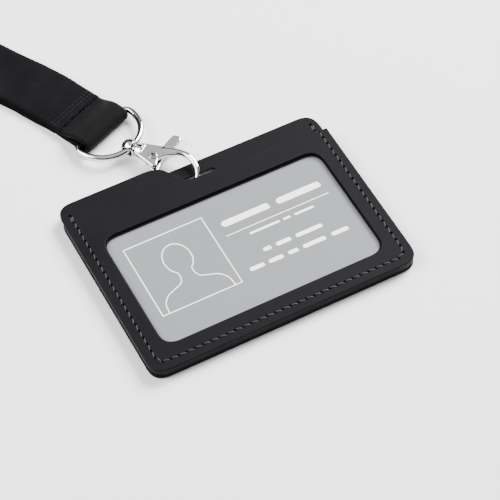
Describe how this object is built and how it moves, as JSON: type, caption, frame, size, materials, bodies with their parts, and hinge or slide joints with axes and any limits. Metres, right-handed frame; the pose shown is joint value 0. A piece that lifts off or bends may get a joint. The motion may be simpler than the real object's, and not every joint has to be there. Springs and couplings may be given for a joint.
{
  "type": "lanyard badge holder",
  "caption": "Leather card pocket with a clear window, hung by a slotted strip from a trigger snap hook, swivel eye and D-ring on a flat webbing neck strap.",
  "frame": {"origin": "centre of the pocket's back face, the face that rests on a table or on the wearer", "axes": "+X along the pocket's long side, +Y towards the slotted strip and the hook, +Z out of the window face"},
  "size_m": [0.2024, 0.204, 0.0216],
  "materials": {
    "leather": "matt, fine grain, painted edges",
    "lining": "matt microfibre",
    "film": "clear, gloss",
    "card": "satin",
    "thread": "waxed thread",
    "webbing": "woven polyester",
    "webbing_thread": "polyester sewing thread",
    "chrome": "polished plating",
    "steel": "satin"
  },
  "bodies": {
    "strap": {"strap_fold": "webbing", "strap_leg_upper": "webbing", "strap_leg_lower": "webbing", "seam_stitching": "webbing_thread", "strap_coil": "webbing", "strap_tie": "webbing"},
    "ring": {"d_ring": "chrome"},
    "eye": {"swivel_eye": "chrome", "swivel_washer": "chrome"},
    "hook": {"hook_body": "chrome", "gate_rivet": "steel", "gate_spring": "steel"},
    "gate": {"gate_lever": "chrome"},
    "holder": {"front_panel": "leather", "front_lining": "lining", "window_film": "film", "pocket_welt": "leather", "middle_panel": "leather", "back_panel": "leather", "stitch_run_left": "thread", "stitch_run_right": "thread"},
    "card": {"id_card": "card"}
  },
  "joints": [
    {"name": "ring_swing", "type": "hinge", "parent": "strap", "child": "ring", "pos_m": [-0.0189, 0.0609, 0.0025], "axis": [-0.9396, -0.3423, 0], "range_deg": [-45, 90]},
    {"name": "eye_pitch", "type": "hinge", "parent": "ring", "child": "eye", "pos_m": [-0.0142, 0.048, 0.0036], "axis": [-0.9396, -0.3423, 0], "range_deg": [-35, 35]},
    {"name": "hook_swivel", "type": "hinge", "parent": "eye", "child": "hook", "pos_m": [-0.0142, 0.048, 0.0038], "axis": [0.6, -0.8, 0], "continuous": true},
    {"name": "gate_open", "type": "hinge", "parent": "hook", "child": "gate", "pos_m": [-0.00958, 0.04034, 0.003], "axis": [0, 0, 1], "range_deg": [0, 16], "stiffness_Nm_per_rad": 0.03, "springref_deg": -6.88},
    {"name": "holder_swing", "type": "hinge", "parent": "hook", "child": "holder", "pos_m": [-0.00107, 0.02616, 0.0016], "axis": [0, 0, 1], "range_deg": [-2, 15]},
    {"name": "card_slide", "type": "slide", "parent": "holder", "child": "card", "axis": [0, 1, 0], "range_m": [0, 0.003]}
  ]
}
